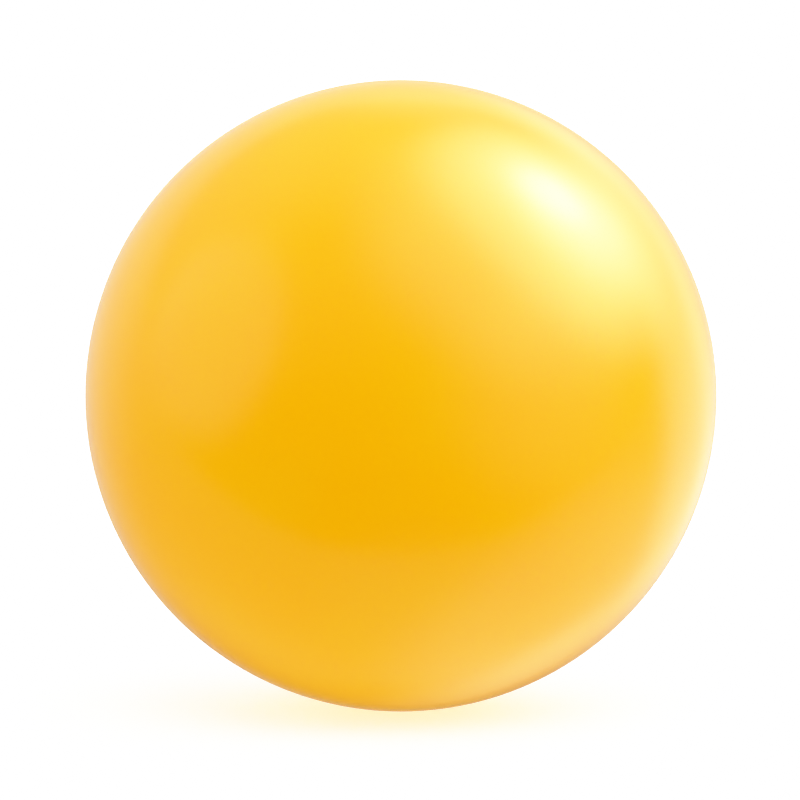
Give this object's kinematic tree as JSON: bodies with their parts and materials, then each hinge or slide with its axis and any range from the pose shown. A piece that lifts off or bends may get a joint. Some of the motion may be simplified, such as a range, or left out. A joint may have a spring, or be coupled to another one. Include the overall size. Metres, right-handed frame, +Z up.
{
  "type": "playground ball",
  "caption": "Inflated round rubber playground ball with a smooth yellow cover over a thread winding and bladder, and a needle valve with a pull-out core.",
  "frame": {"origin": "centre of the ball", "axes": "+Z up, +Y out along the valve's axis, on the side away from a viewer who looks along +Y"},
  "size_m": [0.216, 0.2159, 0.216],
  "materials": {
    "cover_rubber": "satin",
    "nylon_thread": "satin",
    "butyl_rubber": "satin",
    "patch_rubber": "matte",
    "valve_rubber": "satin",
    "core_rubber": "satin"
  },
  "bodies": {
    "ball": {"cover": "cover_rubber", "winding": "nylon_thread", "bladder": "butyl_rubber", "valve_patch": "patch_rubber", "valve_housing": "valve_rubber"},
    "valve_core": {"valve_core": "core_rubber"}
  },
  "joints": [
    {"name": "valve_core_pull", "type": "slide", "parent": "ball", "child": "valve_core", "axis": [0, 1, 0], "range_m": [0, 0.02]}
  ]
}
